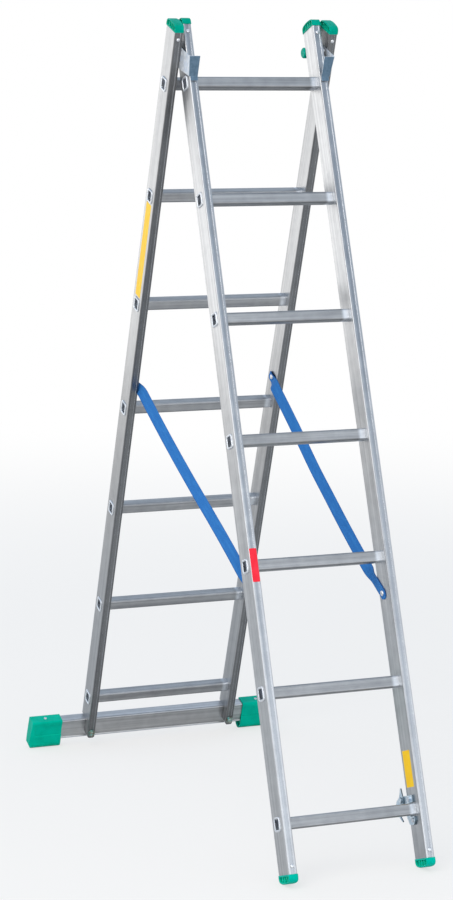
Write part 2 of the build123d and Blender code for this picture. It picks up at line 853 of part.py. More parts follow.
def strap(side):
    """Webbing from the rear stile's inner face to the front stile's, flat on both.

    Between the stiles it turns its face forward. The left one is taut, the right one sags, most in its upper half.
    """
    sideways = Vector(1, 0, 0)
    most_sag = strap_sag_left if side == LEFT else strap_sag_right
    rear_end = rear_section.from_local_coords((0, 0, -rear_strap_down))
    front_end = front_section.from_local_coords((0, front_strap_back, -front_strap_down))
    along = (front_end - rear_end).normalized()
    run = (front_end - rear_end).length
    leaves = strap_lead + half_depth / -along.dot(rear_section.y_dir)
    meets = run - strap_lead - (half_depth - front_strap_back) / -along.dot(front_section.y_dir)
    free_run = meets - leaves
    rear_x = side * (rear_inner - strap_clear - strap_thickness / 2)
    front_x = side * (front_inner - strap_clear - strap_thickness / 2)

    def point(distance):
        share = distance / run
        sag = most_sag * 4 * share * (1 - share) * (1 + strap_sag_skew * (1 - 2 * share))
        over = rear_x + (front_x - rear_x) * ease((distance - leaves) / free_run)
        return rear_end + along * distance + sideways * over - Vector(0, 0, sag)

    def turn(distance):
        turned = min(ease((distance - leaves) / strap_turn_in), ease((meets - distance) / strap_turn_out))
        return radians(strap_turn * turned)

    free = [leaves + free_run * k / strap_free_stations for k in range(strap_free_stations + 1)]
    with BuildPart() as piece:
        for distance in [-strap_tail, 0, *free, run, run + strap_tail]:
            heading = (point(distance + 1) - point(distance - 1)).normalized()
            upright = heading.cross(sideways).normalized()
            flat = upright.cross(heading)
            edge = upright * cos(turn(distance)) + flat * sin(turn(distance))
            with BuildSketch(Plane(point(distance), x_dir=edge, z_dir=heading)):
                Rectangle(strap_width, strap_thickness)
        loft(ruled=True)
        with BuildSketch(side_view(rear_section, rear_x)):
            with Locations((0, -rear_strap_down)):
                Circle(large_rivet_radius + fit_gap)
        extrude(amount=strap_thickness, both=True, mode=Mode.SUBTRACT)
        with BuildSketch(side_view(front_section, front_x)):
            with Locations((front_strap_back, -front_strap_down)):
                Circle(large_rivet_radius + fit_gap)
        extrude(amount=strap_thickness, both=True, mode=Mode.SUBTRACT)
    return piece


os.makedirs("parts", exist_ok=True)

rear_front_holes = [(cap_rivet_z, rivet_radius), (bar_z, bolt_radius)]
rear_inner_holes = [(y, z, large_rivet_radius) for y, z in bracket_rivets + [rear_strap_place]]
front_front_holes = [(cap_rivet_z, rivet_radius), (foot_rivet_z, rivet_radius)]
front_inner_holes = [(y, z, hook_bolt_radius) for y, z in hook_bolt_places]
front_inner_holes.append((*front_strap_place, large_rivet_radius))

for side in (LEFT, RIGHT):
    name = side_name(side)
    rear_stile = stile(rear_section, side, rear_inner, rear_bottom, rear_front_holes, rear_inner_holes)
    save(notch_for_bar(rear_stile, side), f"rear_stile_{name}")
    save(end_cap(rear_section, side, rear_inner, stile_above, 1), f"rear_top_cap_{name}")
    save(guide_bracket(side), f"guide_bracket_{name}")
    save(guide_roller(side), f"guide_roller_{name}")
    save(stabiliser_shoe(side), f"stabiliser_shoe_{name}")
    front_stile = stile(front_section, side, front_inner, front_bottom, front_front_holes, front_inner_holes)
    save(front_stile, f"front_stile_{name}")
    save(end_cap(front_section, side, front_inner, stile_above, 1), f"front_top_cap_{name}")
    save(end_cap(front_section, side, front_inner, front_bottom, -1), f"front_foot_{name}")
    save(hook_plate(side), f"hook_plate_{name}")
    save(hook_latch(side), f"hook_latch_{name}")
    save(strap(side), f"strap_{name}")

for number, height in enumerate(rung_heights, start=1):
    save(rung(rear_section, rear_inner, rear_outer, height), f"rear_rung_{number}")
    save(rung(front_section, front_inner, front_outer, height), f"front_rung_{number}")

strap_under_head = strap_clear + strap_thickness + fit_gap
save(stabiliser_bar(), "stabiliser_bar")
save(stabiliser_bolts(), "stabiliser_bolts")
save(stabiliser_washers(), "stabiliser_washers")
save(stabiliser_nuts(), "stabiliser_nuts")
save(shoe_screws(), "shoe_screws")
save(roller_axles(), "guide_roller_axles")
save(inner_rivets(rear_section, rear_inner, bracket_rivets, sheet), "guide_bracket_rivets")
save(inner_rivets(rear_section, rear_inner, [rear_strap_place], strap_under_head), "rear_strap_rivets")
save(inner_rivets(front_section, front_inner, [front_strap_place], strap_under_head), "front_strap_rivets")
save(front_rivets(rear_section, rear_inner, [cap_rivet_z]), "rear_cap_rivets")
save(front_rivets(front_section, front_inner, [cap_rivet_z, foot_rivet_z]), "front_cap_rivets")
save(hook_bolts(), "hook_bolts")
save(latch_pins(), "hook_latch_pins")
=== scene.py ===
"""Looks of the two-section combination ladder: finishes, fasteners, straps, blank films and the studio.

Lengths are in metres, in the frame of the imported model. A section's own places are (across, back, up)
from the middle of its top rung.
"""

import json
from math import asin, cos, pi, prod, radians, sin

import bmesh
import bpy
from mathutils import Matrix, Vector


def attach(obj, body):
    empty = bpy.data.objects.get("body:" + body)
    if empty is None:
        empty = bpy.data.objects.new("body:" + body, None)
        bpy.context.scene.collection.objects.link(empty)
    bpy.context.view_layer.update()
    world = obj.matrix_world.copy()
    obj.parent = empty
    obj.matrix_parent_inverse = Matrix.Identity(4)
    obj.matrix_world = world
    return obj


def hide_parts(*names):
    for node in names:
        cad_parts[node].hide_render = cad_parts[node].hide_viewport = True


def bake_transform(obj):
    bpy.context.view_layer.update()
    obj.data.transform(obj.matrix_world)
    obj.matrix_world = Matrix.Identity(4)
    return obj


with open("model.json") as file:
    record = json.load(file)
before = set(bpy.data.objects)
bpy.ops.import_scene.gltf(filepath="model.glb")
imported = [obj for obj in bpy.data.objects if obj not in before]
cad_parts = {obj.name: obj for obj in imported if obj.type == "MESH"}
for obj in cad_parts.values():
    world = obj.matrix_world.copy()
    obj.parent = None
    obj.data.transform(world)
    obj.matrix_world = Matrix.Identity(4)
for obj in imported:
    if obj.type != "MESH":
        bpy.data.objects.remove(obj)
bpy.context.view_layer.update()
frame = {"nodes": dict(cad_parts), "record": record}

# Sizes of the ladder that the pieces here are set against
mm = 0.001
rung_count = 7
tread_rung = 4
rung_pitch = 280 * mm
rung_side = 26 * mm
front_inner = 152 * mm
rear_inner = 182 * mm
stile_width = 20 * mm
stile_half_depth = 30 * mm
groove_width = 8 * mm
lowest_rung = -(rung_count - 1) * rung_pitch
bar_offset = -15 * mm
bar_back = 10 * mm
bar_height = 55 * mm
bar_down = 92.5 * mm
bar_middle_up = lowest_rung - bar_down
bar_bottom_up = bar_middle_up - bar_height / 2
shoe_wall = 3 * mm
shoe_top_up = bar_middle_up + bar_height / 2 + shoe_wall
ACROSS = Vector((1, 0, 0))
UP = Vector((0, 0, 1))
LEFT = -1
RIGHT = 1
SIDE_NAMES = {LEFT: "left", RIGHT: "right"}


class Section:
    """One half of the ladder, with its directions and the place of its top rung."""

    def __init__(self, tread):
        self.up = Vector(tread["axis"]).normalized()
        self.back = self.up.cross(ACROSS)
        self.lean = asin(self.up.y)
        tread_middle = Vector(tread["pos_m"]) - self.up * rung_side / 2
        self.rung_1 = tread_middle + self.up * (tread_rung - 1) * rung_pitch

    def point(self, across, back, up):
        return self.rung_1 + ACROSS * across + self.back * back + self.up * up


mounts = {mount["name"]: mount for mount in frame["record"]["mounts"]}
front = Section(mounts["front_tread"])
rear = Section(mounts["rear_tread"])


# Shader maths

# Sockets of a Mix node that carry colours
MIX_COLOUR_A = 6
MIX_COLOUR_B = 7
MIX_COLOUR_RESULT = 2

# Rays that find edges and hollows
edge_samples = 6
hollow_samples = 16

# How well a rounded normal matches the face's own, on a flat and on an edge
flat_match = 0.995
edge_match = 0.90


class Wire:
    """A node's output that takes part in sums: each operator adds one Math node."""

    def __init__(self, sheet, socket):
        self.sheet = sheet
        self.socket = socket

    def __add__(self, other):
        return self.sheet.maths("ADD", self, other)

    def __sub__(self, other):
        return self.sheet.maths("SUBTRACT", self, other)

    def __rsub__(self, other):
        return self.sheet.maths("SUBTRACT", other, self)

    def __mul__(self, other):
        return self.sheet.maths("MULTIPLY", self, other)

    def __truediv__(self, other):
        return self.sheet.maths("DIVIDE", self, other)

    __radd__ = __add__
    __rmul__ = __mul__


def opaque(colour):
    """Gives a written colour its fourth value, and leaves a wire as it is."""
    return colour if isinstance(colour, Wire) else (*colour, 1.0)


class Sheet:
    """The node tree of one finish, or of the world."""

    def __init__(self, owner):
        self.owner = owner
        owner.use_nodes = True
        self.tree = owner.node_tree
        self.tree.nodes.clear()

    def add(self, kind, settings, sockets, result=0):
        """Adds a node with its settings, feeds its sockets and gives one of its outputs."""
        node = self.tree.nodes.new(kind)
        for name, value in settings.items():
            if name == "stops":
                self.set_stops(node.color_ramp, value)
            else:
                setattr(node, name, value)
        for name, value in sockets.items():
            if isinstance(value, Wire):
                self.tree.links.new(value.socket, node.inputs[name])
            else:
                node.inputs[name].default_value = value
        return Wire(self, node.outputs[result]) if node.outputs else None

    def set_stops(self, ramp, stops):
        while len(ramp.elements) < len(stops):
            ramp.elements.new(1.0)
        for element, (position, colour) in zip(ramp.elements, stops):
            element.position = position
            element.color = opaque(colour)

    def maths(self, operation, a, b=0.0):
        return self.add("ShaderNodeMath", {"operation": operation}, {0: a, 1: b})

    def vectors(self, operation, a, b, result="Vector"):
        return self.add("ShaderNodeVectorMath", {"operation": operation}, {0: a, 1: b}, result)

    def ramp(self, value, stops):
        return self.add("ShaderNodeValToRGB", {"stops": stops}, {"Fac": value}, "Color")

    def mix(self, share, a, b):
        """Colour a where share is 0 and b where it is 1."""
        sockets = {0: share, MIX_COLOUR_A: opaque(a), MIX_COLOUR_B: opaque(b)}
        return self.add("ShaderNodeMix", {"data_type": "RGBA"}, sockets, MIX_COLOUR_RESULT)

    def step(self, value, low, high):
        """Smooth step from 0 at low to 1 at high."""
        settings = {"interpolation_type": "SMOOTHSTEP"}
        sockets = {"Value": value, "From Min": low, "From Max": high}
        return self.add("ShaderNodeMapRange", settings, sockets)

    def noise(self, place, scale, detail):
        sockets = {"Vector": place, "Scale": scale, "Detail": detail}
        return self.add("ShaderNodeTexNoise", {}, sockets, "Fac")

    def drawn_noise(self, place, rates, detail):
        """Noise that changes at its own rate along each axis, per metre."""
        return self.noise(self.vectors("MULTIPLY", place, rates), 1.0, detail)

    def place(self, lean=0.0):
        """Object coordinates, turned so that z runs up the stiles of a section with that lean."""
        here = self.add("ShaderNodeTexCoord", {}, {}, "Object")
        if not lean:
            return here
        return self.add("ShaderNodeMapping", {}, {"Vector": here, "Rotation": (lean, 0, 0)})

    def normal(self):
        """The way a face looks, in the frame of the model."""
        return self.add("ShaderNodeTexCoord", {}, {}, "Normal")

    def part(self, vector, name):
        return self.add("ShaderNodeSeparateXYZ", {}, {"Vector": vector}, name)

    def unsigned(self, value):
        """A number without its sign."""
        return self.maths("ABSOLUTE", value)

    def rounded(self, radius):
        """Normal with every edge rounded off by a radius."""
        return self.add("ShaderNodeBevel", {"samples": edge_samples}, {"Radius": radius})

    def edges(self, rounded):
        """1 on the edges and 0 on the flats."""
        normal = self.add("ShaderNodeNewGeometry", {}, {}, "Normal")
        match = self.vectors("DOT_PRODUCT", rounded, normal, "Value")
        return self.step(match, flat_match, edge_match)

    def openness(self, reach):
        """1 on open surfaces and less in the piece's own hollows, within a reach."""
        settings = {"samples": hollow_samples, "only_local": True}
        return self.add("ShaderNodeAmbientOcclusion", settings, {"Distance": reach}, "AO")

    def bump(self, height, depth, normal=None):
        sockets = {"Height": height, "Distance": depth}
        if normal:
            sockets["Normal"] = normal
        return self.add("ShaderNodeBump", {}, sockets)

    def finish(self, sockets):
        surface = self.add("ShaderNodeBsdfPrincipled", {}, sockets)
        self.add("ShaderNodeOutputMaterial", {}, {"Surface": surface})
        return self.owner


def new_sheet(name):
    return Sheet(bpy.data.materials.new(name))


# Aluminium

die_line_depth = 0.03 * mm
flute_pitch = 1.75 * mm
flute_depth = 0.09 * mm
upset_length = 20 * mm
rim_blur = 0.5 * mm
bore_reach = 40 * mm
groove_blur = 0.6 * mm
lip_height = 4.5 * mm
dull_metal = (0.38, 0.385, 0.395)
bright_metal = (0.62, 0.625, 0.63)
black = (0.0, 0.0, 0.0)
# Painted highlights and painted light on the rung ends
upset_painted_highlight = (0.84, 0.88, 0.93)
rim_painted_highlight = (0.92, 0.95, 0.99)
bore_painted_light = (0.88, 0.93, 1.0)
# Painted shade in a stile's groove
groove_painted_shade = (0.19, 0.22, 0.26)
# Painted highlight on the bar's lip
lip_painted_highlight = (0.86, 0.91, 0.97)


def right_of_middle(sheet, place):
    """Distance to the right of the ladder's middle."""
    return sheet.part(place, "X") - front.rung_1.x


def rung_flutes(sheet, place, lines):
    """Height of the fine flutes along a rung, a little uneven."""
    turn = (sheet.part(place, "Y") + sheet.part(place, "Z")) * (2 * pi / flute_pitch)
    return sheet.maths("SINE", turn) + lines * 0.2


def paint_rung_end_highlights(sheet, place, marks, colour, stile_inner):
    """Painted highlights: brighter where a rung is upset against the right stile, as a painted reflection,
    brightest on both its rims, and painted light in its bore where it lies in shade.
    """
    aside = right_of_middle(sheet, place)
    stile_outer = stile_inner + stile_width
    upset = sheet.step(aside, stile_inner - upset_length, stile_inner - upset_length / 2)
    rim = sheet.step(sheet.unsigned(aside), stile_outer - rim_blur, stile_outer + rim_blur)
    bore = sheet.step(sheet.openness(bore_reach), 0.50, 0.25)
    colour = sheet.mix(upset * (0.4 + marks * 0.5), colour, upset_painted_highlight)
    colour = sheet.mix(rim * 0.75, colour, rim_painted_highlight)
    return sheet.mix(bore, colour, bore_painted_light)


def shade_groove(sheet, place, colour, groove_middle):
    """Painted shade in the groove of a stile, which lies that far out from the ladder's middle."""
    out = sheet.unsigned(right_of_middle(sheet, place))
    off_groove = sheet.unsigned(out - groove_middle)
    groove = sheet.step(off_groove, groove_width / 2, groove_width / 2 - groove_blur)
    return sheet.mix(groove * 0.33, colour, groove_painted_shade)


def paint_lip_highlight(sheet, place, colour, lip_up):
    """Painted highlight on the rolled lip at the lower edge of the bar."""
    up = sheet.part(place, "Z") - rear.rung_1.dot(rear.up)
    lip = sheet.step(up, lip_up + lip_height, lip_up + lip_height * 0.7)
    return sheet.mix(lip * 0.6, colour, lip_painted_highlight)


def drawn_aluminium(
    name, lean, along, tone, shade, corner, stile_inner=None, groove_middle=None, lip_up=None
):
    """Mill-finish extrusion: die lines along its length, broad bands, handling marks, and bright edges that
    are partly handling wear and partly a painted highlight.

    along tells how often the lines and the bands change along (across, back, up), per metre. tone is the
    metal's brightness, set apart per section and part as painted light and shade. shade tells how much
    darker the undersides are painted, as painted shade, between two heights of their normal. corner tells
    how round the corners are and how brightly they are painted. stile_inner is given for rungs, which get
    painted highlights at their ends, groove_middle for stiles with painted shade in their groove, and lip_up
    for the bar, which gets a painted highlight on its lip.
    """
    sheet = new_sheet(name)
    place = sheet.place(lean)
    lines = sheet.drawn_noise(place, along["lines"], 3.0)
    bands = sheet.drawn_noise(place, along["bands"], 2.0)
    marks = sheet.noise(place, 38.0, 5.0)
    handled = sheet.step(marks, 0.55, 0.75)
    rounded = sheet.rounded(corner["radius"])
    edges = sheet.edges(rounded)
    streaks = lines * 0.35 + bands * 0.45 + marks * 0.2
    metal = sheet.ramp(streaks, [(0.38, dull_metal), (0.62, bright_metal)])
    # Painted shade: faces that look down are painted darker
    below = sheet.step(sheet.part(sheet.normal(), "Z"), shade["start"], shade["full"])
    shaded = sheet.mix(1 - (1 - below * shade["share"]) * tone, metal, black)
    # Brighter corners: partly handling wear and partly a painted highlight
    colour = sheet.mix(edges * corner["share"], shaded, corner["colour"])
    height = lines
    depth = die_line_depth
    if stile_inner:
        height = rung_flutes(sheet, place, lines)
        depth = flute_depth
        # Painted highlights on the rung ends and painted light in their bores
        colour = paint_rung_end_highlights(sheet, place, marks, colour, stile_inner)
    # Painted shade in the groove of a stile
    if groove_middle:
        colour = shade_groove(sheet, place, colour, groove_middle)
    # Painted highlight on the bar's lip
    if lip_up:
        colour = paint_lip_highlight(sheet, place, colour, lip_up)
    return sheet.finish(
        {
            "Base Color": colour,
            "Metallic": 1.0,
            "Roughness": 0.20 + lines * 0.12 + bands * 0.12 + handled * 0.10 - edges * 0.06,
            "Normal": sheet.bump(height, depth, rounded),
        }
    )


# Plastic

plastic_edge = 1.0 * mm
plastic_grain_depth = 0.02 * mm
scuff_height = 14 * mm
pocket_reach = 14 * mm
light_depth = 4 * mm
light_spread = (0.3, 1.0, 0.8)
pocket_painted_light_green = (0.01, 0.60, 0.37)
edge_green = (0.0, 0.56, 0.42)
scuff_green = (0.02, 0.26, 0.19)
gloss_green = (0.02, 0.90, 0.72)


def moulded_plastic(name, deep, light):
    """Moulded plastic: faint flow clouds, a fine eroded grain, and dull scuffs next to the floor.

    Pockets are painted a lighter green, as painted light against the shade in them.
    """
    sheet = new_sheet(name)
    place = sheet.place()
    grain = sheet.noise(place, 1500.0, 2.0)
    cloud = sheet.noise(place, 26.0, 3.0)
    rounded = sheet.rounded(plastic_edge)
    edges = sheet.edges(rounded)
    low = sheet.step(sheet.part(place, "Z"), scuff_height, 0.0)
    scuffs = low * sheet.step(sheet.noise(place, 240.0, 4.0), 0.50, 0.66)
    # Painted light: the piece's own hollows are painted a lighter green
    pocket_painted_light = sheet.step(sheet.openness(pocket_reach), 0.80, 0.35)
    clouded = sheet.mix(sheet.step(cloud, 0.3, 0.7), deep, light)
    lit = sheet.mix(pocket_painted_light * 0.45, clouded, pocket_painted_light_green)
    worn = sheet.mix(edges * 0.20, lit, edge_green)
    return sheet.finish(
        {
            "Base Color": sheet.mix(scuffs * 0.2, worn, scuff_green),
            "Roughness": 0.40 + grain * 0.14 + scuffs * 0.3,
            "Specular IOR Level": 0.09,
            "Specular Tint": opaque(gloss_green),
            "Subsurface Weight": 0.4,
            "Subsurface Radius": light_spread,
            "Subsurface Scale": light_depth,
            "Normal": sheet.bump(grain, plastic_grain_depth, rounded),
        }
    )


# Zinc

plate_edge = 0.5 * mm
plate_grain_depth = 0.02 * mm


def zinc_plate(name, dark, light, tint, ahead=None, sheared=None, dullness=0.24, patches=70.0):
    """Zinc-plated steel: soft crystal blotches and a tint that wanders over the surface.

    ahead is the pair of darker colours painted on faces that look forward, as painted shade. sheared is the
    darker colour of the cut edges of a plate that lies against a stile, partly their own colour and partly
    painted shade. patches tells how often the tint comes, per metre.
    """
    sheet = new_sheet(name)
    place = sheet.place()
    blotch = sheet.noise(place, 160.0, 4.0)
    wander = sheet.noise(place, patches, 2.0)
    rounded = sheet.rounded(plate_edge)
    edges = sheet.edges(rounded)

    def blotched(low, high):
        return sheet.ramp(blotch, [(0.35, low), (0.65, high)])

    colour = sheet.mix(sheet.step(wander, 0.45, 0.62) * 0.7, blotched(dark, light), tint)
    if sheared:
        # Cut edges darker: partly their own colour, partly painted shade
        sideways = sheet.unsigned(sheet.part(sheet.normal(), "X"))
        colour = sheet.mix(sheet.step(sideways, 0.8, 0.3), colour, sheared)
    # Painted shade: faces that look forward get darker colours
    if ahead:
        forward = sheet.step(sheet.part(sheet.normal(), "Y"), -0.55, -0.80)
        colour = sheet.mix(forward, colour, blotched(*ahead))
    return sheet.finish(
        {
            "Base Color": sheet.mix(edges * 0.5, colour, light),
            "Metallic": 1.0,
            "Roughness": dullness + blotch * 0.22,
            "Normal": sheet.bump(blotch, plate_grain_depth, rounded),
        }
    )


def yellow_zinc(name):
    """Yellow-passivated plating: brown and gold, with blue-green patches."""
    brown = (0.17, 0.14, 0.09)
    gold = (0.50, 0.51, 0.42)
    blue_green = (0.20, 0.56, 0.58)
    return zinc_plate(name, brown, gold, blue_green, patches=220.0)


# Webbing and film

cord_pitch = 1.25 * mm
pick_pitch = 1.9 * mm
weave_depth = 0.12 * mm
selvedge = 2.4 * mm
deep_thread = (0.011, 0.078, 0.27)
high_thread = (0.028, 0.185, 0.51)
faded_thread = (0.045, 0.23, 0.55)
selvedge_thread = (0.008, 0.055, 0.22)
film_ripple = 0.03 * mm


def woven_webbing(name):
    """Plain-woven blue webbing: cords along the strap, crossed by picks, and a darker selvedge."""
    sheet = new_sheet(name)
    weave = sheet.add("ShaderNodeUVMap", {"uv_map": "weave"}, {})
    across = sheet.part(weave, "X")
    along = sheet.part(weave, "Y")
    cord = across / cord_pitch
    shift = sheet.maths("MODULO", sheet.maths("FLOOR", cord), 2.0) * 0.5
    rib = sheet.unsigned(sheet.maths("SINE", cord * pi))
    pick = sheet.unsigned(sheet.maths("SINE", (along / pick_pitch + shift) * pi))
    height = rib * 0.6 + pick * 0.4
    off_middle = sheet.unsigned(across - strap_width / 2)
    edge = sheet.step(off_middle, strap_width / 2 - selvedge, strap_width / 2)
    fade = sheet.drawn_noise(weave, (160.0, 22.0, 0.0), 3.0)
    thread = sheet.ramp(height, [(0.15, deep_thread), (0.85, high_thread)])
    faded = sheet.mix(sheet.step(fade, 0.42, 0.70) * 0.35, thread, faded_thread)
    return sheet.finish(
        {
            "Base Color": sheet.mix(edge * 0.45, faded, selvedge_thread),
            "Roughness": 0.62 + fade * 0.2,
            "Specular IOR Level": 0.2,
            "Normal": sheet.bump(height, weave_depth),
        }
    )


def adhesive_film(name, colour, aged):
    """Blank self-adhesive film: even colour with slight fading, and fine dust scratches."""
    sheet = new_sheet(name)
    place = sheet.place()
    fade = sheet.noise(place, 45.0, 3.0)
    hair = sheet.drawn_noise(place, (900.0, 260.0, 60.0), 2.0)
    return sheet.finish(
        {
            "Base Color": sheet.mix(sheet.step(fade, 0.35, 0.7), colour, aged),
            "Roughness": 0.34 + sheet.step(hair, 0.55, 0.7) * 0.15,
            "Specular IOR Level": 0.10,
            "Normal": sheet.bump(fade, film_ripple),
        }
    )


# Modelling by hand

straight_up = 0.999


def deselect():
    if bpy.context.object and bpy.context.object.mode != "OBJECT":
        bpy.ops.object.mode_set(mode="OBJECT")
    bpy.ops.object.select_all(action="DESELECT")


def choose(piece):
    """Selects one piece and makes it the active one."""
    deselect()
    piece.select_set(True)
    bpy.context.view_layer.objects.active = piece


def edit(piece):
    choose(piece)
    bpy.ops.object.mode_set(mode="EDIT")
    bpy.ops.mesh.select_mode(type="FACE")


def settle():
    """Puts the selected pieces' place, turn and scale into their meshes."""
    bpy.ops.object.transform_apply(location=True, rotation=True, scale=True)


def pick_faces(piece, wanted):
    """In edit mode, selects the faces that pass a test."""
    mesh = bmesh.from_edit_mesh(piece.data)
    for face in mesh.faces:
        face.select_set(wanted(face))
    bmesh.update_edit_mesh(piece.data)


def top_face(face):
    return face.normal.z > straight_up


def raise_top(piece, steps):
    """Draws the top face up through steps of (rise, scale)."""
    edit(piece)
    pick_faces(piece, top_face)
    for rise, scale in steps:
        bpy.ops.mesh.extrude_region_move(TRANSFORM_OT_translate={"value": (0, 0, rise)})
        bpy.ops.transform.resize(value=(scale, scale, 1))
    deselect()


def cylinder(radius, low, high, sides=40):
    deselect()
    bpy.ops.mesh.primitive_cylinder_add(
        vertices=sides, radius=radius, depth=high - low, location=(0, 0, (low + high) / 2)
    )
    settle()
    return bpy.context.object


def modifier(piece, kind, **settings):
    """Adds a modifier, sets it and applies it."""
    choose(piece)
    added = piece.modifiers.new(kind.title(), kind)
    for name, value in settings.items():
        setattr(added, name, value)
    bpy.ops.object.modifier_apply(modifier=added.name)


def cut(piece, tool, operation):
    """Joins a tool to a piece, or keeps or removes what they share, and throws the tool away."""
    modifier(piece, "BOOLEAN", object=tool, operation=operation, solver="EXACT")
    bpy.data.objects.remove(tool)


def smooth(piece, angle=35):
    choose(piece)
    bpy.ops.object.shade_smooth_by_angle(angle=radians(angle))


def facing(direction, beside):
    """Turn that points z along a direction and x beside it."""
    z = Vector(direction).normalized()
    x = (Vector(beside) - z * z.dot(Vector(beside))).normalized()
    y = z.cross(x)
    return Matrix((x, y, z)).transposed().to_4x4()


def dress(piece, finish):
    piece.data.materials.clear()
    piece.data.materials.append(finish)


def spread(pattern, node, placements, finish, body):
    """Copies a pattern to every place and joins the copies into one piece that stands in for a node."""
    copies = []
    for place, turn in placements:
        copy = pattern.copy()
        copy.data = pattern.data.copy()
        bpy.context.scene.collection.objects.link(copy)
        copy.matrix_world = Matrix.Translation(place) @ turn
        copies.append(copy)
    bpy.data.objects.remove(pattern)
    choose(copies[0])
    for copy in copies:
        copy.select_set(True)
    settle()
    bpy.ops.object.join()
    piece = bpy.context.object
    piece.name = f"{node}_formed"
    dress(piece, finish)
    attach(piece, body)
    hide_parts(node)


# Fasteners

cos30 = cos(radians(30))
hex_smoothing = 30
rivet_clamps = 2 * mm
cap_rivet_up = 117 * mm
foot_rivet_up = lowest_rung - 90 * mm
bracket_rivet_places = [(-13 * mm, 88 * mm), (-13 * mm, 66 * mm)]
washer_thickness = 1.6 * mm
bolt_across_flats = 13 * mm
bolt_across = rear_inner + stile_width / 2
bolt_back = -stile_half_depth - washer_thickness
nut_back = 23.1 * mm
screw_reach = 293 * mm
hook_thickness = 4 * mm
hook_bolt_spread = 23 * mm
hook_bolt_places = [
    (9 * mm, lowest_rung + hook_bolt_spread),
    (2 * mm, lowest_rung - hook_bolt_spread),
]


def blind_rivet(head_radius, head_height, pit_radius, shank_radius, shank):
    """Low domed head with the mandrel's pit in its middle, on a short shank."""
    rim_height = head_height * 0.3
    crown = [(head_height * 0.35, 0.90), (head_height * 0.22, 0.82), (head_height * 0.13, 0.72)]
    crown_radius = head_radius * prod(scale for rise, scale in crown)
    pit = [(0.0, pit_radius / crown_radius), (-head_height * 0.6, 0.85)]
    piece = cylinder(head_radius, 0.0, rim_height)
    raise_top(piece, crown + pit)
    stem = cylinder(shank_radius, -shank, 0.0, sides=24)
    cut(piece, stem, "UNION")
    smooth(piece)
    return piece


def small_rivet():
    return blind_rivet(
        head_radius=4.2 * mm,
        head_height=1.7 * mm,
        pit_radius=1.3 * mm,
        shank_radius=2 * mm,
        shank=6 * mm,
    )


def large_rivet():
    return blind_rivet(
        head_radius=6.5 * mm,
        head_height=3.2 * mm,
        pit_radius=1.5 * mm,
        shank_radius=2.5 * mm,
        shank=3.6 * mm,
    )


def hex_head(across_flats, height):
    """Hexagon whose upper corners are turned off to a round face."""
    chamfer = 0.28
    corner = across_flats / 2 / cos30
    turned_radius = corner * 1.02
    face_radius = across_flats * 0.47
    piece = cylinder(corner, 0.0, height, sides=6)
    turned = cylinder(turned_radius, -height, height * (1 - chamfer), sides=64)
    raise_top(turned, [(height * chamfer, face_radius / turned_radius)])
    cut(piece, turned, "INTERSECT")
    return piece


def hex_bolt(across_flats, head, shank_radius, shank):
    """Hex bolt: a turned-off head with a shallow dished face, and a plain shank."""
    rim = across_flats * 0.07
    dish = 0.25 * mm
    overlap = 0.1 * mm
    near_top = head * 0.9
    piece = hex_head(across_flats, head)
    edit(piece)
    pick_faces(piece, lambda face: top_face(face) and face.calc_center_median().z > near_top)
    bpy.ops.mesh.inset(thickness=rim)
    bpy.ops.transform.translate(value=(0, 0, -dish))
    stem = cylinder(shank_radius, -shank, overlap, sides=32)
    cut(piece, stem, "UNION")
    smooth(piece, hex_smoothing)
    return piece


def hex_nut(across_flats, height, bore_radius):
    past = 1 * mm
    piece = hex_head(across_flats, height)
    bore = cylinder(bore_radius, -past, height + past)
    cut(piece, bore, "DIFFERENCE")
    smooth(piece, hex_smoothing)
    return piece


def cross_screw(head_radius, head_height, shank_radius, shank):
    """Pan-head screw with a cross recess."""
    rim_height = head_height * 0.45
    dome = [(head_height * 0.30, 0.93), (head_height * 0.18, 0.85), (head_height * 0.07, 0.7)]
    recess = (head_radius * 1.15, head_radius * 0.26, head_height * 1.3)
    piece = cylinder(head_radius, 0.0, rim_height)
    raise_top(piece, dome)
    for turn in (0, pi / 2):
        deselect()
        bpy.ops.mesh.primitive_cube_add(size=1, location=(0, 0, head_height))
        blade = bpy.context.object
        blade.scale = recess
        blade.rotation_euler = (0, 0, turn)
        settle()
        cut(piece, blade, "DIFFERENCE")
    stem = cylinder(shank_radius, -shank, 0.0, sides=24)
    cut(piece, stem, "UNION")
    smooth(piece)
    return piece


def on_front_face(section, inner, ups):
    """Places in the stiles' front walls, facing forward."""
    turn = facing(-section.back, ACROSS)
    middle = inner + stile_width / 2
    return [
        (section.point(side * middle, -stile_half_depth, up), turn)
        for side in SIDE_NAMES
        for up in ups
    ]


def on_inner_face(section, inner, places):
    """Places (back, up) beside the stiles' inner walls, facing the ladder's middle."""
    return [
        (section.point(side * inner, back, up), facing(ACROSS * -side, section.up))
        for side in SIDE_NAMES
        for back, up in places
    ]


def on_both_sides(middle, reach, back, up, direction):
    """Two places on the rear section, a reach to either side of a middle."""
    turn = facing(direction, ACROSS)
    return [(rear.point(middle + side * reach, back, up), turn) for side in SIDE_NAMES]


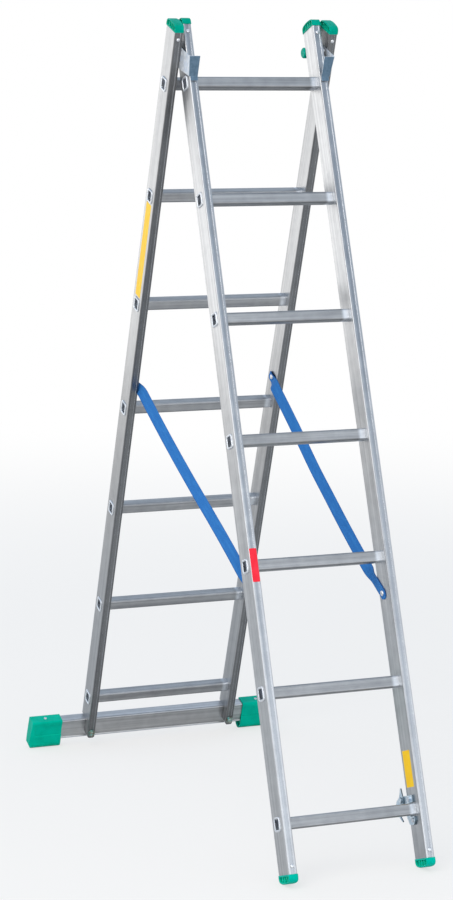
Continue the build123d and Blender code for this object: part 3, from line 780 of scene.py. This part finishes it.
def rivets(finish):
    """Rivets of the caps and feet, of the straps and of the guide brackets."""
    rear_heads = rear_inner - rivet_clamps
    front_heads = front_inner - rivet_clamps
    rear_caps = on_front_face(rear, rear_inner, [cap_rivet_up])
    rear_straps = on_inner_face(rear, rear_heads, [(0, rear_anchor_up)])
    front_caps = on_front_face(front, front_inner, [cap_rivet_up, foot_rivet_up])
    front_straps = on_inner_face(front, front_heads, [(front_anchor_back, front_anchor_up)])
    brackets = on_inner_face(rear, rear_heads, bracket_rivet_places)
    spread(small_rivet(), "rear_cap_rivets", rear_caps, finish, "rear_section")
    spread(large_rivet(), "rear_strap_rivets", rear_straps, finish, "rear_section")
    spread(small_rivet(), "front_cap_rivets", front_caps, finish, "front_section")
    spread(large_rivet(), "front_strap_rivets", front_straps, finish, "front_section")
    spread(large_rivet(), "guide_bracket_rivets", brackets, finish, "rear_section")


def bar_bolts(finish):
    """Bolts through the rear stiles and the bar, with their nuts behind it."""
    bolt = hex_bolt(bolt_across_flats, head=5.3 * mm, shank_radius=4 * mm, shank=64 * mm)
    bolts = on_both_sides(0, bolt_across, bolt_back, bar_middle_up, -rear.back)
    spread(bolt, "stabiliser_bolts", bolts, finish, "rear_section")
    nut = hex_nut(bolt_across_flats, height=6.5 * mm, bore_radius=4.05 * mm)
    nuts = on_both_sides(0, bolt_across, nut_back, bar_middle_up, rear.back)
    spread(nut, "stabiliser_nuts", nuts, finish, "rear_section")


def shoe_screws(finish):
    screw = cross_screw(head_radius=4 * mm, head_height=2 * mm, shank_radius=2 * mm, shank=9 * mm)
    places = on_both_sides(bar_offset, screw_reach, bar_back, shoe_top_up, rear.up)
    spread(screw, "shoe_screws", places, finish, "rear_section")


def hook_bolts(finish):
    bolt = hex_bolt(across_flats=10 * mm, head=4 * mm, shank_radius=3 * mm, shank=9.7 * mm)
    places = on_inner_face(front, front_inner - hook_thickness, hook_bolt_places)
    spread(bolt, "hook_bolts", places, finish, "front_section")


def fasteners():
    bright = zinc_plate(
        "bright_rivet", dark=(0.62, 0.63, 0.65), light=(0.80, 0.81, 0.83), tint=(0.72, 0.74, 0.78)
    )
    plated = zinc_plate(
        "bright_zinc_bolt", dark=(0.50, 0.53, 0.56), light=(0.70, 0.73, 0.76), tint=(0.58, 0.64, 0.72)
    )
    rivets(bright)
    bar_bolts(yellow_zinc("yellow_zinc_bolt"))
    shoe_screws(bright)
    hook_bolts(plated)


# Straps

strap_width = 25 * mm
strap_thickness = 1.6 * mm
strap_columns = 8
strap_rows = 90
strap_smoothing = 40
strap_gap = 0.3 * mm
strap_tail = 16 * mm
strap_lead = 20 * mm
rear_anchor_up = -773 * mm
front_anchor_up = -1201 * mm
front_anchor_back = 8 * mm

# Sag, turn and clearance of a strap: its kink and the clearance's reach are shares of its run
strap_sag = {LEFT: 1 * mm, RIGHT: 18.5 * mm}
strap_kink = 0.42
strap_kink_softness = 0.25
strap_turn = {LEFT: radians(62), RIGHT: radians(59)}
strap_turn_from = 5 * mm
strap_turn_in = 45 * mm
strap_turn_out = {LEFT: 80 * mm, RIGHT: 50 * mm}
strap_clear = 0.6
strap_clear_reach = 0.6

# Gathered end at the rear rivet and blunt tips
gather_reach = 26 * mm
gather_narrowing = 0.18
gather_curl = 3 * mm
tip_length = 9 * mm
tip_narrowing = 0.6

# Shares of a strap's run: near the rivets, where it is split into stretches, and near the top
strap_held = 0.006
strap_high_joint = 0.07
strap_low_joint = 0.68
strap_quick_bend = 0.28


def within(value):
    return min(max(value, 0.0), 1.0)


def ease(value):
    """Smooth step from 0 to 1."""
    share = within(value)
    return share * share * (3 - 2 * share)


class Route:
    """Course of one strap: distances run from its rear rivet to its front rivet.

    The left strap is nearly taut, the right one sags in two straight lengths with a soft kink between
    them. Just below the rear rivet a strap turns its face forward, which takes it off the stile, and it
    lies flat again at the front.
    """

    def __init__(self, side):
        self.side = side
        self.middleward = ACROSS * -side
        self.start = rear.point(0, 0, rear_anchor_up)
        end = front.point(0, front_anchor_back, front_anchor_up)
        self.run = (end - self.start).length
        self.along = (end - self.start) / self.run
        over_stile = (stile_half_depth - front_anchor_back) / -self.along.dot(front.back)
        self.meets = self.run - strap_lead - over_stile
        off_stile = strap_gap + strap_thickness / 2
        self.rear_across = side * (rear_inner - off_stile)
        self.front_across = side * (front_inner - off_stile)

    def point(self, distance):
        share = distance / self.run
        across = self.rear_across + (self.front_across - self.rear_across) * ease(distance / self.meets)
        cleared = strap_clear * (1 - ease(share / strap_clear_reach))
        off_stile = cleared * strap_width / 2 * sin(self.turn(distance))
        line = self.start + self.along * distance + ACROSS * across
        return line + self.middleward * off_stile - UP * self.sag(share)

    def between(self, share):
        """Point on the straight line between the rivets."""
        return self.start + self.along * (self.run * share)

    def progress(self, distance):
        """Share of that line at which a point of the strap lies."""
        return (self.point(distance) - self.start).dot(self.along) / self.run

    def sag(self, share):
        before = share / strap_kink
        after = (1 - share) / (1 - strap_kink)
        overlap = max(strap_kink_softness - abs(before - after), 0.0)
        return strap_sag[self.side] * (min(before, after) - overlap**2 / (4 * strap_kink_softness))

    def turn(self, distance):
        turned_in = ease((distance - strap_turn_from) / strap_turn_in)
        turned_out = ease((self.meets - distance) / strap_turn_out[self.side])
        return strap_turn[self.side] * min(turned_in, turned_out)

    def width(self, distance):
        """Share of the full width: gathered at the rear rivet, blunt at both ends."""
        gathered = gather_narrowing * self.gather(distance)
        front_tip = within((distance - self.run - strap_tail + tip_length) / tip_length)
        rear_tip = within((tip_length - strap_tail - distance) / tip_length)
        return 1 - gathered - tip_narrowing * (front_tip + rear_tip**2)

    def gather(self, distance):
        return ease(1 - abs(distance) / gather_reach)

    def spot(self, distance, aside):
        """Point beside the strap's middle line; aside is a share of the width, towards the upper edge."""
        heading = (self.point(distance + mm) - self.point(distance - mm)).normalized()
        upright = heading.cross(ACROSS).normalized()
        flat = upright.cross(heading)
        turn = self.turn(distance)
        edge = upright * cos(turn) + flat * sin(turn)
        off_line = edge * aside * strap_width * self.width(distance)
        curl = gather_curl * self.gather(distance) * (2 * aside) ** 2
        return self.point(distance) + off_line + self.middleward * curl


def webbing(name, route, first, last, finish):
    """Flat strip of webbing along a strap's route between two distances.

    It starts as a grid of size 1 round the origin, whose y is laid along the route and x across it.
    """
    deselect()
    bpy.ops.mesh.primitive_grid_add(x_subdivisions=strap_columns, y_subdivisions=strap_rows, size=1)
    piece = bpy.context.object
    piece.name = name
    layer = piece.data.uv_layers[0]
    layer.name = "weave"
    flat = [vertex.co.copy() for vertex in piece.data.vertices]
    distances = [first + (spot.y + 0.5) * (last - first) for spot in flat]
    for loop in piece.data.loops:
        aside = flat[loop.vertex_index].x + 0.5
        layer.data[loop.index].uv = (aside * strap_width, distances[loop.vertex_index] + strap_tail)
    for vertex, spot, distance in zip(piece.data.vertices, flat, distances):
        vertex.co = route.spot(distance, spot.x)
    modifier(piece, "SOLIDIFY", thickness=strap_thickness, offset=0.0)
    smooth(piece, strap_smoothing)
    dress(piece, finish)
    return piece


def straps():
    """Each strap in three stretches, upper, middle and lower, each a piece of its own that stands in for the
    imported strap.
    """
    finish = woven_webbing("blue_webbing")
    fold = ("rear_section", "straps")
    extension = ("straps", "front_section")
    for side, name in SIDE_NAMES.items():
        route = Route(side)
        high = strap_high_joint * route.run
        low = strap_low_joint * route.run
        high_at = route.progress(high)
        low_at = route.progress(low)
        turned = (high_at - strap_held) / (strap_quick_bend - strap_held)
        slow_from = (high_at - turned * low_at) / (1 - turned)
        stretches = {
            "upper": (-strap_tail, high, fold, strap_held, strap_quick_bend),
            "middle": (high, low, fold, slow_from, low_at),
            "lower": (low, route.run + strap_tail, extension, low_at, 1 - strap_held),
        }
        for stretch, (first, last, bodies, bend_from, bend_to) in stretches.items():
            piece = webbing(f"strap_{name}_{stretch}", route, first, last, finish)
            route.between(bend_from)
            route.between(bend_to)
            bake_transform(piece)
            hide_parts(f"strap_{name}")


# Blank films

film_corner = 1.6 * mm
film_corner_steps = 5
film_thickness = 0.12 * mm


def film(name, size, place, turn, finish, body):
    """Thin sheet with rounded corners, lying on a stile."""
    width, length = size
    deselect()
    bpy.ops.mesh.primitive_plane_add(size=1)
    piece = bpy.context.object
    piece.name = name
    piece.scale = (width, length, 1)
    settle()
    edit(piece)
    bpy.ops.mesh.select_all(action="SELECT")
    bpy.ops.mesh.bevel(offset=film_corner, segments=film_corner_steps, affect="VERTICES")
    modifier(piece, "SOLIDIFY", thickness=film_thickness, offset=1.0)
    piece.matrix_world = Matrix.Translation(place) @ turn
    choose(piece)
    settle()
    dress(piece, finish)
    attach(piece, body)


def films():
    yellow = adhesive_film("yellow_film", colour=(0.95, 0.56, 0.003), aged=(0.97, 0.61, 0.008))
    red = adhesive_film("red_film", colour=(0.78, 0.021, 0.040), aged=(0.83, 0.034, 0.058))
    film(
        "rear_stile_film",
        size=(33 * mm, 240 * mm),
        place=rear.point(across=-rear_inner - stile_width, back=0.5 * mm, up=-419 * mm),
        turn=facing(-ACROSS, rear.back),
        finish=yellow,
        body="rear_section",
    )
    film(
        "front_stile_film",
        size=(37 * mm, 80 * mm),
        place=front.point(across=front_inner, back=2.5 * mm, up=-1592 * mm),
        turn=facing(-ACROSS, front.back),
        finish=yellow,
        body="front_section",
    )
    film(
        "front_edge_film",
        size=(17 * mm, 74 * mm),
        place=front.point(
            across=-front_inner - stile_width / 2, back=-stile_half_depth, up=-1122 * mm
        ),
        turn=facing(-front.back, ACROSS),
        finish=red,
        body="front_section",
    )


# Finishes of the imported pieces

def stile_finishes():
    along = {"lines": (1500.0, 1500.0, 7.0), "bands": (120.0, 120.0, 1.4)}
    # Painted shade on the stiles' undersides
    shade = {"start": -0.05, "full": -0.33, "share": 0.49}
    corner = {"radius": 1.0 * mm, "share": 0.6, "colour": (0.78, 0.81, 0.85)}
    # Painted light and shade: the front and rear stiles, of one aluminium, are given different brightness
    front_tone = 0.97
    rear_tone = 0.77
    return {
        "front_stile": drawn_aluminium(
            "front_stile_metal",
            front.lean,
            along,
            front_tone,
            shade,
            corner,
            groove_middle=front_inner + stile_width / 2,
        ),
        "rear_stile": drawn_aluminium("rear_stile_metal", rear.lean, along, rear_tone, shade, corner),
    }


def rung_and_bar_finishes():
    along = {"lines": (7.0, 1500.0, 1500.0), "bands": (1.8, 120.0, 120.0)}
    # Painted shade on the undersides of the rungs and of the bar
    shade = {"start": -0.05, "full": -0.75, "share": 0.38}
    bar_shade = {"start": -0.05, "full": -0.75, "share": 0.06}
    corner = {"radius": 0.7 * mm, "share": 0.5, "colour": (0.70, 0.71, 0.72)}
    # Painted light and shade: the rungs of the two sections and the bar, of one aluminium, are given
    # different brightness
    front_tone = 0.72
    rear_tone = 0.80
    bar_tone = 1.0
    return {
        "front_rung": drawn_aluminium(
            "front_rung_metal", front.lean, along, front_tone, shade, corner, stile_inner=front_inner
        ),
        "rear_rung": drawn_aluminium(
            "rear_rung_metal", rear.lean, along, rear_tone, shade, corner, stile_inner=rear_inner
        ),
        "stabiliser_bar": drawn_aluminium(
            "bar_metal", rear.lean, along, bar_tone, bar_shade, corner, lip_up=bar_bottom_up
        ),
    }


def steel_finishes():
    bracket_zinc = zinc_plate(
        "zinc_sheet",
        dark=(0.62, 0.66, 0.70),
        light=(0.80, 0.83, 0.86),
        tint=(0.66, 0.73, 0.82),
        # Darker colours painted on faces that look forward, as painted shade
        ahead=[(0.11, 0.18, 0.25), (0.165, 0.25, 0.335)],
        dullness=0.55,
    )
    hook_zinc = zinc_plate(
        "zinc_plate",
        dark=(0.50, 0.60, 0.67),
        light=(0.82, 0.91, 0.97),
        tint=(0.48, 0.61, 0.72),
        sheared=(0.14, 0.19, 0.23),
    )
    return {
        "guide_bracket": bracket_zinc,
        "guide_roller_axles": bracket_zinc,
        "hook": hook_zinc,
        "stabiliser_washers": yellow_zinc("yellow_washer"),
    }


def dress_nodes():
    """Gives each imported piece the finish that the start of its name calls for, or else the caps' green."""
    # One green plastic in three copies, painted darker on the caps and lighter on the shoe and the feet, as
    # painted light and shade
    cap_green = moulded_plastic("green_plastic", deep=(0.0, 0.275, 0.19), light=(0.0, 0.33, 0.235))
    shoe_green = moulded_plastic("green_shoe_plastic", deep=(0.0, 0.385, 0.262), light=(0.0, 0.46, 0.32))
    foot_green = moulded_plastic("green_foot_plastic", deep=(0.0, 0.40, 0.30), light=(0.0, 0.48, 0.365))
    finishes = {
        "stabiliser_shoe": shoe_green,
        "front_foot": foot_green,
        **stile_finishes(),
        **rung_and_bar_finishes(),
        **steel_finishes(),
    }
    for node, piece in frame["nodes"].items():
        starts = [start for start in finishes if node.startswith(start)]
        dress(piece, finishes[max(starts, key=len)] if starts else cap_green)


# Studio

warm_white = (1.0, 0.93, 0.85)
plain_white = (1.0, 1.0, 1.0)
paper_white = (0.72, 0.70, 0.67)
front_sky = (0.60, 0.71, 0.85)
back_sky = (0.63, 0.73, 0.87)
floor_radius = 40.0
floor_sides = 96
aim_height = 0.9


def floor():
    """Pale paper, lifted for the camera near the ladder, and white further off where seen or mirrored."""
    near = 2.0
    far = 7.0
    near_white = 0.66
    deselect()
    bpy.ops.mesh.primitive_circle_add(
        vertices=floor_sides, radius=floor_radius, fill_type="NGON", location=(0, 0, 0)
    )
    ground = bpy.context.object
    ground.name = "studio_floor"
    sheet = new_sheet("pale_floor")
    away = sheet.vectors("LENGTH", sheet.place(), (0, 0, 0), "Value")
    rays = ("Is Camera Ray", "Is Glossy Ray", "Is Transmission Ray")
    camera_ray, glossy_ray, clear_ray = (sheet.add("ShaderNodeLightPath", {}, {}, ray) for ray in rays)
    seen = sheet.maths("MINIMUM", camera_ray + glossy_ray + clear_ray, 1.0)
    paper = sheet.add("ShaderNodeBsdfDiffuse", {}, {"Color": opaque(paper_white)})
    white = sheet.add("ShaderNodeEmission", {}, {"Color": opaque(plain_white), "Strength": 1.0})
    fade = sheet.step(away, near, far)
    whiteness = fade * seen + (1 - fade) * camera_ray * near_white
    surface = sheet.add("ShaderNodeMixShader", {}, {0: whiteness, 1: paper, 2: white})
    sheet.add("ShaderNodeOutputMaterial", {}, {"Surface": surface})
    sheet.owner.cycles.emission_sampling = "NONE"
    dress(ground, sheet.owner)


def studio_world():
    """White round the horizon, under a cool dome that is a little lighter behind."""
    world = bpy.data.worlds.new("studio")
    bpy.context.scene.world = world
    sheet = Sheet(world)
    direction = sheet.add("ShaderNodeTexCoord", {}, {}, "Generated")
    behind = sheet.step(sheet.part(direction, "Y"), -0.35, 0.25)
    dome = sheet.mix(behind, front_sky, back_sky)
    horizon = sheet.step(sheet.unsigned(sheet.part(direction, "Z")), 0.30, 0.08)
    colour = sheet.mix(horizon, dome, plain_white)
    light = sheet.add("ShaderNodeBackground", {}, {"Color": colour, "Strength": 1.0})
    sheet.add("ShaderNodeOutputWorld", {}, {"Surface": light})


def looking(place, direction):
    """Place and turn of a lamp or camera that looks in a direction."""
    return Matrix.Translation(place) @ direction.to_track_quat("-Z", "Y").to_matrix().to_4x4()


def soft_box(name, place, size, power, colour=plain_white):
    """Rectangular lamp, in watts, that looks at the middle of the ladder."""
    lamp = bpy.data.lights.new(name, "AREA")
    lamp.shape = "RECTANGLE"
    lamp.size, lamp.size_y = size
    lamp.energy = power
    lamp.color = colour
    box = bpy.data.objects.new(name, lamp)
    box.matrix_world = looking(place, UP * aim_height - Vector(place))
    bpy.context.scene.collection.objects.link(box)


def lamps():
    soft_box("key_light", place=(-3.0, -2.5, 4.0), size=(4.0, 4.0), power=130.0, colour=warm_white)
    soft_box("back_light", place=(-1.7, 4.2, 1.55), size=(3.0, 2.0), power=15.0)
    soft_box("front_light", place=(1.3, -3.7, 1.6), size=(2.4, 1.6), power=10.0)
    soft_box("low_light", place=(-0.8, -6.6, 1.1), size=(4.0, 1.6), power=80.0)


def camera():
    """The photograph's view: place, direction and focal length in pixels of its 453 x 900 frame."""
    image_height = 900
    image_middle = image_height / 2
    focal_pixels = 2497.2
    principal_row = 338.8
    place = Vector((-2.1677, -5.4344, 1.6752))
    look = Vector((0.36326, 0.92675, -0.09584))
    lens = bpy.data.cameras.new("photo_view")
    lens.sensor_width = 36.0
    lens.lens = focal_pixels * lens.sensor_width / image_height
    lens.shift_y = (principal_row - image_middle) / image_height
    eye = bpy.data.objects.new("photo_view", lens)
    eye.matrix_world = looking(place, look)
    bpy.context.scene.collection.objects.link(eye)
    bpy.context.scene.camera = eye


dress_nodes()
fasteners()
straps()
films()
floor()
studio_world()
lamps()
camera()
bpy.context.scene.view_settings.view_transform = "Standard"
